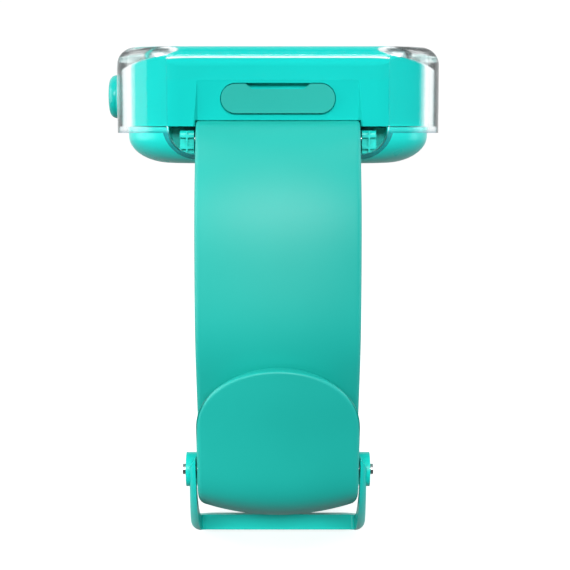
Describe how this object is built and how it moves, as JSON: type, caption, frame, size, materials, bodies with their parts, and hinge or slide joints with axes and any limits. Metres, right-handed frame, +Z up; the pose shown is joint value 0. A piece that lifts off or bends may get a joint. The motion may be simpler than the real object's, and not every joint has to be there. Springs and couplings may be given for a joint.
{
  "type": "fitness tracker band",
  "caption": "Child's smart watch in a clear bumper on a silicone strap closed by a moulded pin buckle, with side button and port cover.",
  "frame": {"origin": "middle of the rear cover's flat wrist face", "axes": "+Z up out of the screen, -Y towards the 12 o'clock end with the buckle strap, -X towards the side button"},
  "size_m": [0.0434, 0.0612, 0.0635],
  "materials": {
    "clear_plastic": "clear gloss",
    "gloss_teal": "gloss",
    "satin_teal": "satin",
    "silicone_teal": "matt silicone",
    "button_teal": "satin",
    "buckle_plastic": "satin",
    "black_rubber": "matt",
    "black_plastic": "matt",
    "steel": "satin",
    "screen_glass": "gloss",
    "black_gloss": "gloss",
    "alloy": "bead blasted",
    "board": "solder mask",
    "foil": "foil pouch",
    "card_plastic": "matt",
    "dark_window": "gloss",
    "led": "matt",
    "gold": "plated"
  },
  "bodies": {
    "watch": {"clear_bumper": "clear_plastic", "upper_case": "gloss_teal", "rear_cover": "satin_teal", "button_ring": "button_teal", "button_seal": "black_rubber", "button_switch": "black_plastic", "buckle_strap": "silicone_teal", "tail_strap": "silicone_teal", "buckle_pin": "steel", "bar_barrel_near": "steel", "bar_barrel_far": "steel", "screen_glass": "screen_glass", "display_gasket": "black_rubber", "display_panel": "black_gloss", "chassis": "alloy", "main_board": "board", "shield_can": "steel", "board_chips": "black_plastic", "battery": "foil", "vibration_motor": "steel", "speaker": "black_plastic", "microphone": "alloy", "card_socket": "steel", "data_card": "card_plastic", "rear_gasket": "black_rubber", "rear_screws": "steel", "sensor_window": "dark_window", "sensor_board": "board", "sensor_leds": "led", "charge_contacts": "gold"},
    "button": {"side_button": "button_teal"},
    "port": {"port_cover": "silicone_teal"},
    "frame": {"buckle_frame": "buckle_plastic"},
    "tang": {"buckle_tang": "buckle_plastic"},
    "tip_near_left": {"bar_tip_near_left": "steel"},
    "tip_near_right": {"bar_tip_near_right": "steel"},
    "tip_far_left": {"bar_tip_far_left": "steel"},
    "tip_far_right": {"bar_tip_far_right": "steel"}
  },
  "joints": [
    {"name": "side_button_press", "type": "slide", "parent": "watch", "child": "button", "axis": [1, 0, 0], "range_m": [0, 0.0006], "stiffness_N_per_m": 900, "springref_m": -0.0008},
    {"name": "port_cover_pull", "type": "slide", "parent": "watch", "child": "port", "axis": [0, -1, 0], "range_m": [0, 0.004]},
    {"name": "buckle_frame_open", "type": "hinge", "parent": "watch", "child": "frame", "pos_m": [0, -0.0215, -0.0383], "axis": [-1, 0, 0], "range_deg": [0, 95]},
    {"name": "buckle_tang_lift", "type": "hinge", "parent": "watch", "child": "tang", "pos_m": [0, -0.0215, -0.0383], "axis": [1, 0, 0], "range_deg": [0, 40]},
    {"name": "tip_near_left_press", "type": "slide", "parent": "watch", "child": "tip_near_left", "axis": [1, 0, 0], "range_m": [0, 0.0017], "stiffness_N_per_m": 400, "springref_m": -0.0015},
    {"name": "tip_near_right_press", "type": "slide", "parent": "watch", "child": "tip_near_right", "axis": [-1, 0, 0], "range_m": [0, 0.0017], "stiffness_N_per_m": 400, "springref_m": -0.0015},
    {"name": "tip_far_left_press", "type": "slide", "parent": "watch", "child": "tip_far_left", "axis": [1, 0, 0], "range_m": [0, 0.0017], "stiffness_N_per_m": 400, "springref_m": -0.0015},
    {"name": "tip_far_right_press", "type": "slide", "parent": "watch", "child": "tip_far_right", "axis": [-1, 0, 0], "range_m": [0, 0.0017], "stiffness_N_per_m": 400, "springref_m": -0.0015}
  ]
}
